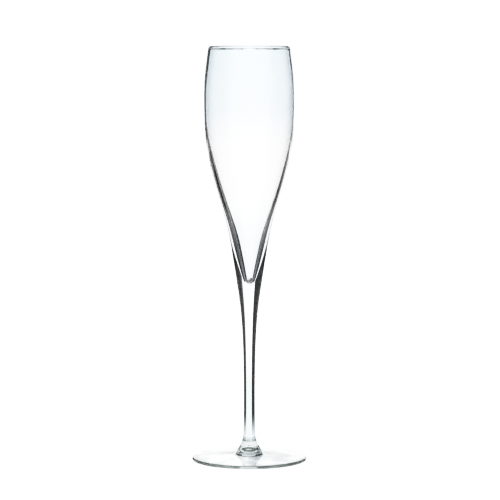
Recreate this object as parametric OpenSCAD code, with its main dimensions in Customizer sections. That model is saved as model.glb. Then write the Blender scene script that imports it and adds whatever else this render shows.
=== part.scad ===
// Champagne flute of clear glass in three fused pieces: a blown bowl, a drawn stem and a pressed foot.
// Millimetres, +Z up, origin on the table under the axis. Every piece is a solid of revolution.
//
// Outlines are chains of smooth curves between knots. A knot is [radius, height, tilt, reach above,
// reach below]: tilt is how far the outline leans outward from vertical as it rises, in degrees, and
// the reaches say how strongly the curve above and the curve below keep to that lean.

/* [Overall] */
// Height from the table to the top of the rim
glass_height = 245; // [240:1:250]

/* [Bowl] */
// Outside diameter at the rim
rim_diameter = 48; // [46.5:0.5:49.5]
// Outside diameter at the widest point of the bowl
belly_diameter = 53.7; // [52.5:0.1:55.5]
// Distance from the rim down to the widest point
belly_drop = 31.7; // [29:0.1:34]
// Outside diameter where the curve turns from bulging to flaring
flank_diameter = 36; // [34.8:0.1:37.2]
// Distance from the rim down to that turning point
flank_drop = 89; // [87:0.5:91]
// Outside diameter at the bottom of the bowl, where the stem begins
neck_diameter = 13.7; // [12.5:0.1:15]

/* [Rim] */
// Thickness of the rounded bead at the lip
bead_thickness = 1.7; // [1.4:0.1:2]
// How far round its inside the bead keeps its roundness, in degrees below level
bead_undercut = 82; // [60:1:86]
// Distance from the rim down to where the bead has blended into the wall
bead_blend_drop = 2.7; // [2.5:0.1:3.4]
// Thickness of the wall there
blend_wall = 1.25; // [1.1:0.05:1.4]

/* [Cavity] */
// Thickness of the wall at the widest point
belly_wall = 1.05; // [0.9:0.05:1.4]
// Diameter of the cavity where its outline turns from bulging to flaring
cavity_flank_diameter = 26.7; // [25.5:0.1:27.6]
// Distance from the rim down to the cavity's turning point
cavity_flank_drop = 95; // [93:0.5:97]
// Distance from the rim down to the bottom of the cavity
cavity_depth = 139.5; // [138:0.5:141]
// Radius of the rounded bottom of the cavity
cavity_tip_radius = 2.35; // [2:0.05:2.8]
// Radius of the pit that starts the stream of bubbles
bubble_pit_radius = 0.7; // [0.4:0.1:1]

/* [Stem] */
// Height of the joint between the stem and the bowl
neck_height = 102; // [100:0.5:103]
// Diameter of the stem at its thinnest point
waist_diameter = 6.44; // [5.6:0.02:7.2]
// Height of the thinnest point
waist_height = 36; // [30:1:44]
// Diameter at the weld between the stem and the foot
weld_diameter = 7.4; // [7:0.1:8]
// Height of that weld
weld_height = 14; // [13:0.5:15]

/* [Foot] */
// Diameter of the foot
foot_diameter = 68; // [64:1:72]
// Thickness of the rounded edge of the foot
edge_thickness = 2; // [1.8:0.1:2.6]
// Radius of the collar's lower part, where it turns outward
shoulder_radius = 6.4; // [6:0.1:6.8]
// Height of that turn
shoulder_height = 7.3; // [6.8:0.1:7.8]
// Radius at which the collar has spread out into the top of the foot
collar_spread = 14.5; // [13.5:0.1:16]
// Height of the top of the foot at that radius
collar_foot_height = 3.1; // [2.9:0.1:3.5]
// Width of the flat ring that the glass stands on
contact_width = 1.85; // [1.3:0.05:3]
// Height of the hollow under the middle of the foot
hollow_height = 1.8; // [0.5:0.1:2.2]

/* [Hidden] */
$fn = 180;

// A curve has a straight step for each step_length of its span, but never fewer than least_steps
step_length = 2.8;
least_steps = 4;

lip_radius = bead_thickness / 2;
lip_centre = [rim_diameter / 2 - lip_radius, glass_height - lip_radius];
lip_lean = 13;
wall_lean = 13;
blend_radius = rim_diameter / 2 + (bead_blend_drop - lip_radius) * tan(wall_lean) - blend_wall;
pit_depth = bubble_pit_radius * 0.6;
edge_radius = edge_thickness / 2;
edge_centre = [foot_diameter / 2 - edge_radius, edge_radius];
top_slope = atan2(collar_foot_height - edge_thickness, edge_centre[0] - collar_spread);

// Point on an arc round a centre, at an angle from the outward horizontal
function on_arc(centre, radius, angle) = centre + radius * [cos(angle), sin(angle)];

// Points along an arc from one angle to another, both ends included
function arc(centre, radius, from, to, steps) =
    [for (i = [0:steps]) on_arc(centre, radius, from + (to - from) * i / steps)];

function position(knot) = [knot[0], knot[1]];
function heading(knot) = [sin(knot[2]), cos(knot[2])];
function control_above(knot) = position(knot) + knot[3] * heading(knot);
function control_below(knot) = position(knot) - knot[4] * heading(knot);

// Point on the cubic curve that runs from p to s with controls q and r
function cubic(p, q, r, s, t) =
    pow(1 - t, 3) * p + 3 * pow(1 - t, 2) * t * q + 3 * (1 - t) * t * t * r + pow(t, 3) * s;

// Points from an upper knot down to a lower knot, without the lower end
function stretch(upper, lower) =
    let (steps = max(least_steps, ceil(norm(position(upper) - position(lower)) / step_length)))
    [for (i = [0:steps - 1])
        cubic(position(upper), control_below(upper), control_above(lower), position(lower), i / steps)];

// Points down a chain of knots, with both ends
function chain(knots) = concat(
    [for (i = [0:len(knots) - 2]) each stretch(knots[i], knots[i + 1])],
    [position(knots[len(knots) - 1])]
);

function reversed(points) = [for (i = [len(points) - 1:-1:0]) points[i]];

// Knots of the outside, from the lip to the weld
lip_outer = concat(on_arc(lip_centre, lip_radius, lip_lean), [-lip_lean, 0, 4]);
belly_outer = [belly_diameter / 2, glass_height - belly_drop, 0, 16.9, 26];
flank_outer = [flank_diameter / 2, glass_height - flank_drop, 16.9, 19.1, 15.9];
neck_outer = [neck_diameter / 2, neck_height, 8.4, 36.4, 13.5];
waist_outer = [waist_diameter / 2, waist_height, 0, 42, 10];
weld_outer = [weld_diameter / 2, weld_height, -4, 3, 0];

// Knots of the cavity, from the underside of the bead to the start of its round bottom
tip_lean = 13;
tip_centre = [0, glass_height - cavity_depth + cavity_tip_radius];
bead_end = 180 + bead_undercut;
bead_inner = concat(on_arc(lip_centre, lip_radius, bead_end), [-bead_undercut, 0, 1.2]);
lip_inner = [blend_radius, glass_height - bead_blend_drop, -6.5, 1.1, 3];
belly_inner = [belly_diameter / 2 - belly_wall, glass_height - belly_drop + 1.9, 0, 10.2, 16.7];
flank_inner = [cavity_flank_diameter / 2, glass_height - cavity_flank_drop, 18.4, 40, 19.3];
tip_inner = concat(on_arc(tip_centre, cavity_tip_radius, -tip_lean), [tip_lean, 23.2, 0]);

// Half section of the bowl: outside, joint plane, axis, cavity and lip
module bowl_section() {
    outside = chain([lip_outer, belly_outer, flank_outer, neck_outer]);
    inside = chain([bead_inner, lip_inner, belly_inner, flank_inner, tip_inner]);
    bottom = arc(tip_centre, cavity_tip_radius, -tip_lean, -90, 8);
    lip = arc(lip_centre, lip_radius, bead_end, lip_lean, 12);
    polygon(concat(outside, [[0, neck_height]], reversed(bottom), reversed(inside), lip));
}

// Blown bowl with a beaded lip and a pit at the bottom of its cavity
module bowl() {
    color([0.93, 0.97, 0.98, 0.35])
        difference() {
            rotate_extrude() bowl_section();
            translate([0, 0, glass_height - cavity_depth + bubble_pit_radius - pit_depth])
                sphere(r = bubble_pit_radius);
        }
}

// Drawn solid stem, from the bottom of the bowl to the weld
module stem() {
    outside = chain([neck_outer, waist_outer, weld_outer]);
    color([0.90, 0.94, 0.95, 0.35])
        rotate_extrude()
            polygon(concat(outside, [[0, weld_height], [0, neck_height]]));
}

// Pressed disc with a collar up to the weld, a rounded edge and a hollow underside
module foot() {
    collar_top = [weld_diameter / 2 + 0.1, weld_height, -10, 0, 5.8];
    shoulder = [shoulder_radius, shoulder_height, -28, 2.4, 6];
    collar_foot = [collar_spread, collar_foot_height, top_slope - 90, 8.3, 0];
    edge = arc(edge_centre, edge_radius, 90, -90, 10);
    hollow_rim = [edge_centre[0] - contact_width, 0, -87.5, 11.8, 0];
    hollow_crown = [0, hollow_height, -90, 0, 10];
    color([0.88, 0.93, 0.93, 0.35])
        rotate_extrude()
            polygon(concat(
                [[0, weld_height]],
                chain([collar_top, shoulder, collar_foot]),
                edge,
                reversed(chain([hollow_crown, hollow_rim]))
            ));
}

bowl();
stem();
foot();
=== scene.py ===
import bmesh
import bpy
import math
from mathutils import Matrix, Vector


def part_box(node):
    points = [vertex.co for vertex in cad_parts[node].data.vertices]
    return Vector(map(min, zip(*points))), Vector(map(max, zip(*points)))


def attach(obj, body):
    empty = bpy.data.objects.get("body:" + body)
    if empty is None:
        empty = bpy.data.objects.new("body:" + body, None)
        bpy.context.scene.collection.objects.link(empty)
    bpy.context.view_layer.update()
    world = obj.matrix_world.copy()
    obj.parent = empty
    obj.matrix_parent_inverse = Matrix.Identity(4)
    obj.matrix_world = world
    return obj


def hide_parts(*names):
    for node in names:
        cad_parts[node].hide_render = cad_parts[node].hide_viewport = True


# A champagne flute of clear glass in three fused pieces. Metres, +Z up, origin on the table under the
# axis. Each piece is a closed lathed shell, finer than its CAD node and on the same outline.

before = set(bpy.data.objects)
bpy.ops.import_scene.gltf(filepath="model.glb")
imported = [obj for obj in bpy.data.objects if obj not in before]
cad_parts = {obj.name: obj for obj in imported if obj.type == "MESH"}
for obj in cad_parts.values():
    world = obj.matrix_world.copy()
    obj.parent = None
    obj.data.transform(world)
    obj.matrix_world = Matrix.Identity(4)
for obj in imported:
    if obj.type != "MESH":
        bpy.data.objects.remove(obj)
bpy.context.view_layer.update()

MM = 0.001

# ---------------------------------------------------------------- the outline, in millimetres and degrees
# Heights and radii that the CAD nodes fix
FOOT_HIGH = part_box("foot")[1]
STEM_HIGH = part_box("stem")[1]
BOWL_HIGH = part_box("bowl")[1]
GLASS_HEIGHT = BOWL_HIGH.z / MM
NECK_HEIGHT = STEM_HIGH.z / MM
WELD_HEIGHT = FOOT_HIGH.z / MM
BELLY_RADIUS = BOWL_HIGH.x / MM
NECK_RADIUS = STEM_HIGH.x / MM
FOOT_RADIUS = FOOT_HIGH.x / MM

# Lip. Each drop is measured down from the rim, and each wall is how thick the glass is there
RIM_RADIUS = 24.0
BEAD_THICKNESS = 1.7
BEAD_UNDERCUT = 82
BEAD_BLEND_DROP = 2.7
BLEND_WALL = 1.25
LIP_LEAN = 13
WALL_LEAN = 13.0

# Bowl and cavity. The cavity is widest a little above where the outside is
BELLY_DROP = 31.7
BELLY_WALL = 1.05
CAVITY_BELLY_RISE = 1.9
FLANK_RADIUS = 18.0
FLANK_DROP = 89.0
CAVITY_FLANK_RADIUS = 13.35
CAVITY_FLANK_DROP = 95.0
CAVITY_DEPTH = 139.5
CAVITY_TIP_RADIUS = 2.35
TIP_LEAN = 13.0
PIT_RADIUS = 0.7
PIT_DEPTH = PIT_RADIUS * 0.6

# Stem
WAIST_RADIUS = 3.22
WAIST_HEIGHT = 36.0
WELD_RADIUS = 3.7

# Foot
COLLAR_STEP = 0.1
SHOULDER_RADIUS = 6.4
SHOULDER_HEIGHT = 7.3
COLLAR_SPREAD = 14.5
COLLAR_FOOT_HEIGHT = 3.1
EDGE_THICKNESS = 2
CONTACT_WIDTH = 1.85
HOLLOW_HEIGHT = 1.8

# How finely the outlines are stepped and the pieces turned
STEP = 0.7
LEAST_STEPS = 8
LIP_STEPS = 28
TIP_STEPS = 16
PIT_STEPS = 8
EDGE_STEPS = 24
TURNS = 192
ON_AXIS = 1e-6
SHARP_EDGE = 40

# ---------------------------------------------------------------- the glass
# Colour of each piece by height, in millimetres
BOWL_TINTS = (
    (102, (0.88, 0.915, 0.94)),
    (130, (0.9, 0.925, 0.94)),
    (150, (0.98, 0.99, 0.995)),
    (158, (1.0, 1.0, 1.0)),
    (185, (1.0, 1.0, 1.0)),
    (208, (0.89, 0.93, 0.96)),
    (245, (0.875, 0.925, 0.955)),
)
STEM_TINTS = (
    (14, (0.75, 0.81, 0.82)),
    (45, (0.73, 0.79, 0.78)),
    (55, (0.85, 0.905, 0.93)),
    (67, (1.0, 1.0, 1.0)),
    (85, (1.0, 1.0, 1.0)),
    (102, (0.88, 0.915, 0.94)),
)
FOOT_TINTS = (
    (0, (0.93, 0.96, 0.945)),
    (2, (0.91, 0.935, 0.93)),
    (5, (0.95, 0.965, 0.975)),
    (14, (0.86, 0.9, 0.91)),
)
GLASS_IOR = 1.52

# Light that the body of the foot takes per metre, and the part of it that each colour is spared
BODY_DENSITY = 12.0
BODY_TINT = (0.0, 0.1, 0.06)

# Streaks, and the part of their noise over which they come in
FAINT_STREAKS = (0.99, 0.995, 1.0, 1)
CLOUDY_STREAKS = (0.45, 0.47, 0.5, 1)
STREAK_SPAN = (0.35, 0.7)
STREAK_DETAIL = 1.5

# Rough places: the etched spot, in millimetres, with its colours by noise, which are painted shade, and
# the scuffed ring
FROST_ROUGHNESS = 0.6
ETCH_AND_SHADE_CENTRE = (0.4, -1.6, 107.4)
ETCH_AND_SHADE_RADIUS = 1.45
ETCH_AND_SHADE_FADE = 0.9
ETCH_AND_SHADE_BLOTCH = 2.0
ETCH_AND_SHADE_GRAIN = 900.0
ETCH_AND_SHADE_DETAIL = 2.0
# painted shade: the spot's near-black colours stand in for shade at the bottom of the cavity, on top of
# the real etch
ETCH_AND_SHADE_TINTS = ((0.45, (0.02, 0.019, 0.016)), (0.68, (0.36, 0.345, 0.31)))
WORN_TINT = (0.8, 0.82, 0.81, 1)
WEAR = 0.5
WEAR_HEIGHT = 0.2
WEAR_SPAN = (0.45, 0.65)
WEAR_GRAIN = 1500.0
WEAR_DETAIL = 3.0
WELD_HAZE = 0.1
WELD_HAZE_RISE = 0.5

# ---------------------------------------------------------------- camera and stage, in metres
CAMERA_DISTANCE = 1.488
CAMERA_HEIGHT = 0.2580
CAMERA_REACH = 20
AIM_HEIGHT = 0.1250
LENS = 182.4
SENSOR = 36.0
CAMERA_SHIFT = 0.0013
TABLE_RADIUS = 0.165
TABLE_FULL_RADIUS = 0.02
TABLE_GAP = 0.0002
TABLE_SIDES = 128
TABLE_LIGHT = 1.35
SCREEN_BEHIND = 0.8
SCREEN_LEFT = 0.26
SCREEN_HALF_HEIGHT = 0.41
SCREEN_LIGHT = 1.4
# How bright the screen is, by distance from its middle to the right
SCREEN_FALLOFF = ((0.0, 1.0), (0.33, 1.0), (0.38, 0.13), (0.55, 0.02))
# The room's own level, then light by direction: axis, where it starts, where it is full, and its level
ROOM_DARK = 0.022
ROOM_LIGHT = (("Y", -0.25, -0.85, 1.0), ("Z", 0.65, 0.9, 0.9), ("Z", -0.25, -0.6, 0.5))
KEY_SIZE = 1.6
KEY_HEIGHT = 1.6
KEY_LIGHT = 1.2
BOUNCES = 64
WHITE_LEVEL = 1.4
TONE_CURVE = ((0.06, 0.06), (0.2, 0.26), (0.4, 0.62), (0.63, 0.88), (0.83, 0.98))


# ---------------------------------------------------------------- outlines
def on_arc(centre, radius, angle):
    a = math.radians(angle)
    return (centre[0] + radius * math.cos(a), centre[1] + radius * math.sin(a))


def arc(centre, radius, start, end, steps):
    return [on_arc(centre, radius, start + (end - start) * i / steps) for i in range(steps + 1)]


def knot(point, lean, above=0.0, below=0.0):
    """A point of an outline, how far it leans outward as it rises, and how far each side keeps to it."""
    rise = (math.sin(math.radians(lean)), math.cos(math.radians(lean)))
    up = (point[0] + above * rise[0], point[1] + above * rise[1])
    down = (point[0] - below * rise[0], point[1] - below * rise[1])
    return {"at": point, "up": up, "down": down}


def between(upper, lower, t):
    """The point at t, from 0 to 1, of the cubic curve from an upper knot down to a lower one."""
    u = 1 - t
    weights = (u**3, 3 * u * u * t, 3 * u * t * t, t**3)
    corners = (upper["at"], upper["down"], lower["up"], lower["at"])
    return tuple(sum(w * corner[i] for w, corner in zip(weights, corners)) for i in range(2))


def chain(*knots):
    """Points down a chain of knots, about STEP apart."""
    points = []
    for upper, lower in zip(knots, knots[1:]):
        steps = max(LEAST_STEPS, math.ceil(math.dist(upper["at"], lower["at"]) / STEP))
        points += [between(upper, lower, i / steps) for i in range(steps)]
    return points + [knots[-1]["at"]]


neck = knot((NECK_RADIUS, NECK_HEIGHT), 8.4, above=36.4, below=13.5)


def bowl_outline():
    """From the joint up the outside, over the lip and down the cavity to the bottom of the pit."""
    lip_radius = BEAD_THICKNESS / 2
    lip_centre = (RIM_RADIUS - lip_radius, GLASS_HEIGHT - lip_radius)
    blend_rise = BEAD_BLEND_DROP - lip_radius
    blend_radius = RIM_RADIUS + blend_rise * math.tan(math.radians(WALL_LEAN)) - BLEND_WALL
    bead_end = 180 + BEAD_UNDERCUT
    belly_height = GLASS_HEIGHT - BELLY_DROP
    cavity_belly = (BELLY_RADIUS - BELLY_WALL, belly_height + CAVITY_BELLY_RISE)
    cavity_flank = (CAVITY_FLANK_RADIUS, GLASS_HEIGHT - CAVITY_FLANK_DROP)
    tip_centre = (0, GLASS_HEIGHT - CAVITY_DEPTH + CAVITY_TIP_RADIUS)

    outside = chain(
        knot(on_arc(lip_centre, lip_radius, LIP_LEAN), -LIP_LEAN, below=4),
        knot((BELLY_RADIUS, belly_height), 0, above=16.9, below=26),
        knot((FLANK_RADIUS, GLASS_HEIGHT - FLANK_DROP), 16.9, above=19.1, below=15.9),
        neck,
    )
    lip = arc(lip_centre, lip_radius, LIP_LEAN, bead_end, LIP_STEPS)[1:-1]
    inside = chain(
        knot(on_arc(lip_centre, lip_radius, bead_end), -BEAD_UNDERCUT, below=1.2),
        knot((blend_radius, GLASS_HEIGHT - BEAD_BLEND_DROP), -6.5, above=1.1, below=3),
        knot(cavity_belly, 0, above=10.2, below=16.7),
        knot(cavity_flank, 18.4, above=40, below=19.3),
        knot(on_arc(tip_centre, CAVITY_TIP_RADIUS, -TIP_LEAN), TIP_LEAN, above=23.2),
    )
    # the round bottom runs to the pit's brim, and the pit is a small round hollow in it
    pit_centre = (0, GLASS_HEIGHT - CAVITY_DEPTH + PIT_RADIUS - PIT_DEPTH)
    gap = tip_centre[1] - pit_centre[1]
    brim_height = (CAVITY_TIP_RADIUS**2 - PIT_RADIUS**2 - gap**2) / (2 * gap)
    brim_tip = -math.degrees(math.asin((gap + brim_height) / CAVITY_TIP_RADIUS))
    brim_pit = -math.degrees(math.asin(brim_height / PIT_RADIUS))
    bottom = arc(tip_centre, CAVITY_TIP_RADIUS, -TIP_LEAN, brim_tip, TIP_STEPS)[1:]
    pit = arc(pit_centre, PIT_RADIUS, brim_pit, -90, PIT_STEPS)[1:]
    return list(reversed(outside)) + lip + inside + bottom + pit


def stem_outline():
    """From the weld up to the joint with the bowl."""
    waist = knot((WAIST_RADIUS, WAIST_HEIGHT), 0, above=42, below=10)
    weld = knot((WELD_RADIUS, WELD_HEIGHT), -4, above=3)
    return list(reversed(chain(neck, waist, weld)))


def foot_outline():
    """From the weld down the collar, out over the top, round the edge and in under the hollow."""
    edge_radius = EDGE_THICKNESS / 2
    edge_centre = (FOOT_RADIUS - edge_radius, edge_radius)
    edge_top = (edge_centre[0], EDGE_THICKNESS)
    spread = (COLLAR_SPREAD, COLLAR_FOOT_HEIGHT)
    top_slope = math.degrees(math.atan2(spread[1] - edge_top[1], edge_top[0] - spread[0]))
    collar = chain(
        knot((WELD_RADIUS + COLLAR_STEP, WELD_HEIGHT), -10, below=5.8),
        knot((SHOULDER_RADIUS, SHOULDER_HEIGHT), -28, above=2.4, below=6),
        knot(spread, top_slope - 90, above=8.3),
    )
    steps = int(math.dist(spread, edge_top) / STEP)
    top = [tuple(a + (b - a) * i / steps for a, b in zip(spread, edge_top)) for i in range(1, steps)]
    edge = arc(edge_centre, edge_radius, 90, -90, EDGE_STEPS)
    hollow = chain(
        knot((0, HOLLOW_HEIGHT), -90, below=10),
        knot((edge_centre[0] - CONTACT_WIDTH, 0), -87.5, above=11.8),
    )
    return collar + top + edge + list(reversed(hollow))


# ---------------------------------------------------------------- turned pieces
def turned(name, outline, joint_first, joint_last):
    """A closed shell turned from an outline of (radius, height) in millimetres. Its ends meet the axis,
    as a point of the outline or as the flat face of a fused joint, which has the second material."""
    mesh = bpy.data.meshes.new(name)
    bm = bmesh.new()
    turn = [2 * math.pi * i / TURNS for i in range(TURNS)]
    rings = []
    for radius, height in outline:
        if radius < ON_AXIS:
            rings.append([bm.verts.new((0, 0, height * MM))])
            continue
        r, z = radius * MM, height * MM
        rings.append([bm.verts.new((r * math.cos(a), r * math.sin(a), z)) for a in turn])

    def fan(ring, pole, material):
        for i in range(TURNS):
            face = bm.faces.new((ring[i], ring[(i + 1) % TURNS], pole))
            face.material_index = material
            face.smooth = material == 0

    for lower, upper in zip(rings, rings[1:]):
        if len(lower) == 1 or len(upper) == 1:
            fan(max(lower, upper, key=len), min(lower, upper, key=len)[0], 0)
            continue
        for i in range(TURNS):
            j = (i + 1) % TURNS
            bm.faces.new((lower[i], lower[j], upper[j], upper[i])).smooth = True
    for ring, joint in ((rings[0], joint_first), (rings[-1], joint_last)):
        if joint:
            fan(ring, bm.verts.new((0, 0, ring[0].co.z)), 1)
    bmesh.ops.recalc_face_normals(bm, faces=bm.faces)
    for edge in bm.edges:
        if len(edge.link_faces) == 2 and edge.calc_face_angle(0) > math.radians(SHARP_EDGE):
            edge.smooth = False
    bm.to_mesh(mesh)
    bm.free()
    piece = bpy.data.objects.new(name, mesh)
    bpy.context.scene.collection.objects.link(piece)
    return piece


# ---------------------------------------------------------------- materials
def add(tree, kind, props=None, inputs=None):
    """A node with its choices made, and each of its inputs either linked or set."""
    node = tree.nodes.new(kind)
    for name, value in (props or {}).items():
        setattr(node, name, value)
    for name, value in (inputs or {}).items():
        if isinstance(value, bpy.types.NodeSocket):
            tree.links.new(value, node.inputs[name])
        else:
            node.inputs[name].default_value = value
    return node


def math_node(tree, operation, *values):
    return add(tree, "ShaderNodeMath", {"operation": operation}, dict(enumerate(values))).outputs[0]


def noise(tree, place, scale, detail):
    inputs = {"Vector": place, "Scale": scale, "Detail": detail}
    return add(tree, "ShaderNodeTexNoise", None, inputs).outputs["Fac"]


def distance(tree, place, centre):
    props = {"operation": "DISTANCE"}
    return add(tree, "ShaderNodeVectorMath", props, {0: place, 1: centre}).outputs["Value"]


def smooth(tree, value, start, end, level=1.0):
    """From 0 at start to level at end, which may be the lower of the two."""
    inputs = {"Value": value, "From Min": start, "From Max": end, "To Max": level}
    return add(tree, "ShaderNodeMapRange", {"interpolation_type": "SMOOTHSTEP"}, inputs).outputs["Result"]


def ramp(tree, value, stops):
    """A colour that changes along a value, through stops of (value, colour)."""
    low, high = stops[0][0], stops[-1][0]
    along = add(tree, "ShaderNodeMapRange", None, {"Value": value, "From Min": low, "From Max": high})
    node = add(tree, "ShaderNodeValToRGB", None, {"Fac": along.outputs["Result"]})
    elements = node.color_ramp.elements
    for place, colour in stops[1:-1]:
        elements.new((place - low) / (high - low)).color = (*colour, 1)
    elements[0].color = (*stops[0][1], 1)
    elements[-1].color = (*stops[-1][1], 1)
    return node.outputs["Color"]


def blend(tree, how, factor, first, second):
    props = {"data_type": "RGBA", "blend_type": how}
    return add(tree, "ShaderNodeMix", props, {"Factor": factor, "A": first, "B": second}).outputs["Result"]


def new_material(name):
    material = bpy.data.materials.new(name)
    material.use_nodes = True
    material.node_tree.nodes.remove(material.node_tree.nodes["Principled BSDF"])
    return material, material.node_tree


def shown(tree, shader, socket="Surface"):
    tree.links.new(shader.outputs[0], tree.nodes["Material Output"].inputs[socket])


def glass(name, density, tints, streaks, grain, ripple, frosted):
    """Clear glass. density is how much light its body takes. tints colour it by height, in millimetres,
    and are multiplied by streaks. grain is how many streaks and ripples there are in a metre along
    each axis, and ripple is how deep the ripples are. frosted gives the rough places and their colour,
    which at the etched spot is painted shade."""
    material, tree = new_material(name)
    place = add(tree, "ShaderNodeTexCoord").outputs["Object"]
    height = add(tree, "ShaderNodeSeparateXYZ", None, {0: place}).outputs["Z"]
    stretched = add(tree, "ShaderNodeMapping", {"vector_type": "POINT"}, {"Vector": place, "Scale": grain})
    flow = noise(tree, stretched.outputs[0], 1.0, STREAK_DETAIL)
    bump = add(tree, "ShaderNodeBump", None, {"Height": flow, "Strength": 1.0, "Distance": ripple})

    tint = ramp(tree, height, [(z * MM, colour) for z, colour in tints])
    streaked = blend(tree, "MULTIPLY", smooth(tree, flow, *STREAK_SPAN), tint, streaks)
    rough, rough_tint = frosted(tree, place, height)
    shown(tree, add(tree, "ShaderNodeBsdfPrincipled", None, {
        "Base Color": blend(tree, "MIX", rough, streaked, rough_tint),
        "Roughness": math_node(tree, "MULTIPLY", rough, FROST_ROUGHNESS),
        "IOR": GLASS_IOR,
        "Transmission Weight": 1.0,
        "Normal": bump.outputs["Normal"],
    }))
    if density:
        body = {"Color": (*BODY_TINT, 1), "Density": density}
        shown(tree, add(tree, "ShaderNodeVolumeAbsorption", None, body), "Volume")
    return material


def etched_and_shaded_bottom(tree, place, height):
    """The blotchy spot etched low on the wall of the cavity, where the bubbles start. It is rough like a
    real etch, and its near-black colours are painted shade.
    """
    blotch = noise(tree, place, ETCH_AND_SHADE_GRAIN, ETCH_AND_SHADE_DETAIL)
    uneven = math_node(tree, "MULTIPLY_ADD", blotch, ETCH_AND_SHADE_BLOTCH * MM, -ETCH_AND_SHADE_BLOTCH * MM / 2)
    away = distance(tree, place, tuple(c * MM for c in ETCH_AND_SHADE_CENTRE))
    ragged = math_node(tree, "ADD", away, uneven)
    spot = smooth(tree, ragged, (ETCH_AND_SHADE_RADIUS + ETCH_AND_SHADE_FADE) * MM, ETCH_AND_SHADE_RADIUS * MM)
    return spot, ramp(tree, blotch, ETCH_AND_SHADE_TINTS)


def unmarked(tree, place, height):
    """Drawn glass that nothing touches: only the skin at the weld is a little less bright."""
    top = (WELD_HEIGHT + WELD_HAZE_RISE) * MM
    return smooth(tree, height, top, WELD_HEIGHT * MM, WELD_HAZE), WORN_TINT


def worn_ring(tree, place, height):
    """The ring under the foot, scuffed by what the glass has stood on."""
    patchy = smooth(tree, noise(tree, place, WEAR_GRAIN, WEAR_DETAIL), *WEAR_SPAN)
    low = smooth(tree, height, WEAR_HEIGHT * MM, 0.0, WEAR)
    return math_node(tree, "MULTIPLY", patchy, low), WORN_TINT


def joint_glass():
    """The face where two pieces are fused: nothing shows there."""
    material, tree = new_material("fused_joint")
    shown(tree, add(tree, "ShaderNodeBsdfTransparent"))
    return material


# Each piece's outline and which of its ends are joints, then what glass() takes. Only the body of the
# foot takes light: in the bowl and the stem that would draw a dark line where the two meet.
pieces = {
    "bowl": (
        bowl_outline(), (True, False),
        (0, BOWL_TINTS, FAINT_STREAKS, (70, 70, 10), 0.000003, etched_and_shaded_bottom),
    ),
    "stem": (
        stem_outline(), (True, True),
        (0, STEM_TINTS, FAINT_STREAKS, (330, 330, 22), 0.00002, unmarked),
    ),
    "foot": (
        foot_outline(), (True, False),
        (BODY_DENSITY, FOOT_TINTS, CLOUDY_STREAKS, (75, 75, 75), 0.00008, worn_ring),
    ),
}
joint = joint_glass()
for name, (outline, joints, look) in pieces.items():
    piece = turned(f"{name}_glass", outline, *joints)
    piece.data.materials.append(glass(f"{name}_clear", *look))
    piece.data.materials.append(joint)
    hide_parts(name)
    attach(piece, "root")


# ---------------------------------------------------------------- camera, table, screen and room
def glow(tree, strength, colour=(1, 1, 1, 1)):
    return add(tree, "ShaderNodeEmission", None, {"Strength": strength, "Color": colour})


def flat_object(name, points, material):
    mesh = bpy.data.meshes.new(name)
    mesh.from_pydata(points, [], [tuple(range(len(points)))])
    mesh.materials.append(material)
    thing = bpy.data.objects.new(name, mesh)
    bpy.context.scene.collection.objects.link(thing)
    return thing


def table_material():
    """White under the glass, fading to nothing round it."""
    material, tree = new_material("pale_table")
    place = add(tree, "ShaderNodeTexCoord").outputs["Object"]
    fade = smooth(tree, distance(tree, place, (0, 0, 0)), TABLE_FULL_RADIUS, TABLE_RADIUS)
    white = glow(tree, TABLE_LIGHT).outputs[0]
    clear = add(tree, "ShaderNodeBsdfTransparent").outputs[0]
    shown(tree, add(tree, "ShaderNodeMixShader", None, {0: fade, 1: white, 2: clear}))
    return material


def screen_material():
    """White, falling off towards the far end of its right side."""
    material, tree = new_material("white_screen")
    place = add(tree, "ShaderNodeTexCoord").outputs["Object"]
    across = add(tree, "ShaderNodeSeparateXYZ", None, {0: place}).outputs["X"]
    stops = [(x, (level, level, level)) for x, level in SCREEN_FALLOFF]
    shown(tree, glow(tree, SCREEN_LIGHT, ramp(tree, across, stops)))
    return material


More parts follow.
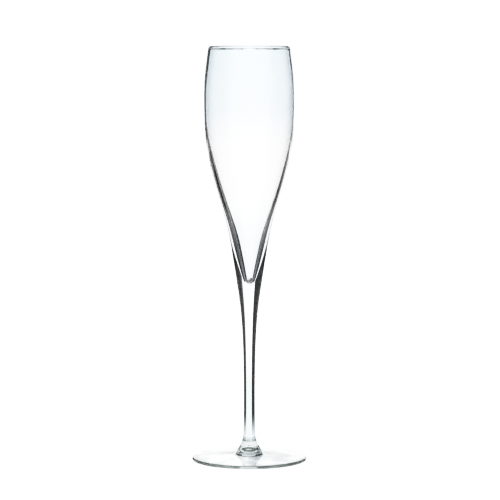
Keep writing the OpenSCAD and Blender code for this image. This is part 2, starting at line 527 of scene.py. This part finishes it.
def room():
    """A dark room, with light in front of the glass, above it and below the table."""
    world = bpy.data.worlds.new("room")
    world.use_nodes = True
    tree = world.node_tree
    way = add(tree, "ShaderNodeTexCoord").outputs["Generated"]
    split = add(tree, "ShaderNodeSeparateXYZ", None, {0: way})
    level = ROOM_DARK
    for axis, start, end, light in ROOM_LIGHT:
        level = math_node(tree, "MAXIMUM", level, smooth(tree, split.outputs[axis], start, end, light))
    tree.links.new(level, tree.nodes["Background"].inputs["Color"])
    return world


scene = bpy.context.scene
scene.world = room()

camera = bpy.data.objects.new("camera", bpy.data.cameras.new("camera"))
scene.collection.objects.link(camera)
scene.camera = camera
camera.data.lens = LENS
camera.data.sensor_width = SENSOR
camera.data.shift_x = CAMERA_SHIFT
camera.data.clip_end = CAMERA_REACH
pitch = math.atan2(CAMERA_HEIGHT - AIM_HEIGHT, CAMERA_DISTANCE)
camera.location = (0, -CAMERA_DISTANCE, CAMERA_HEIGHT)
camera.rotation_euler = (math.pi / 2 - pitch, 0, 0)

circle = arc((0, 0), TABLE_RADIUS, 0, 360, TABLE_SIDES)[:-1]
table = flat_object("table", [(x, y, 0) for x, y in circle], table_material())
table.location.z = -TABLE_GAP

left, right, half = -SCREEN_LEFT, SCREEN_FALLOFF[-1][0], SCREEN_HALF_HEIGHT
corners = [(left, -half, 0), (right, -half, 0), (right, half, 0), (left, half, 0)]
screen = flat_object("screen", corners, screen_material())
screen.parent = camera
screen.location.z = -(CAMERA_DISTANCE + SCREEN_BEHIND)

key = bpy.data.objects.new("soft_key", bpy.data.lights.new("soft_key", "AREA"))
scene.collection.objects.link(key)
key.data.shape = "SQUARE"
key.data.size = KEY_SIZE
key.data.energy = math.pi * KEY_SIZE**2 * KEY_LIGHT
key.location = (0, 0, KEY_HEIGHT)

# light runs a long way inside the foot before it comes out
tracer = scene.cycles
tracer.max_bounces = tracer.transmission_bounces = tracer.glossy_bounces = BOUNCES

settings = scene.view_settings
settings.view_transform = "Standard"
settings.use_curve_mapping = True
settings.curve_mapping.white_level = (WHITE_LEVEL,) * 3
for point in TONE_CURVE:
    settings.curve_mapping.curves[3].points.new(*point)
settings.curve_mapping.update()
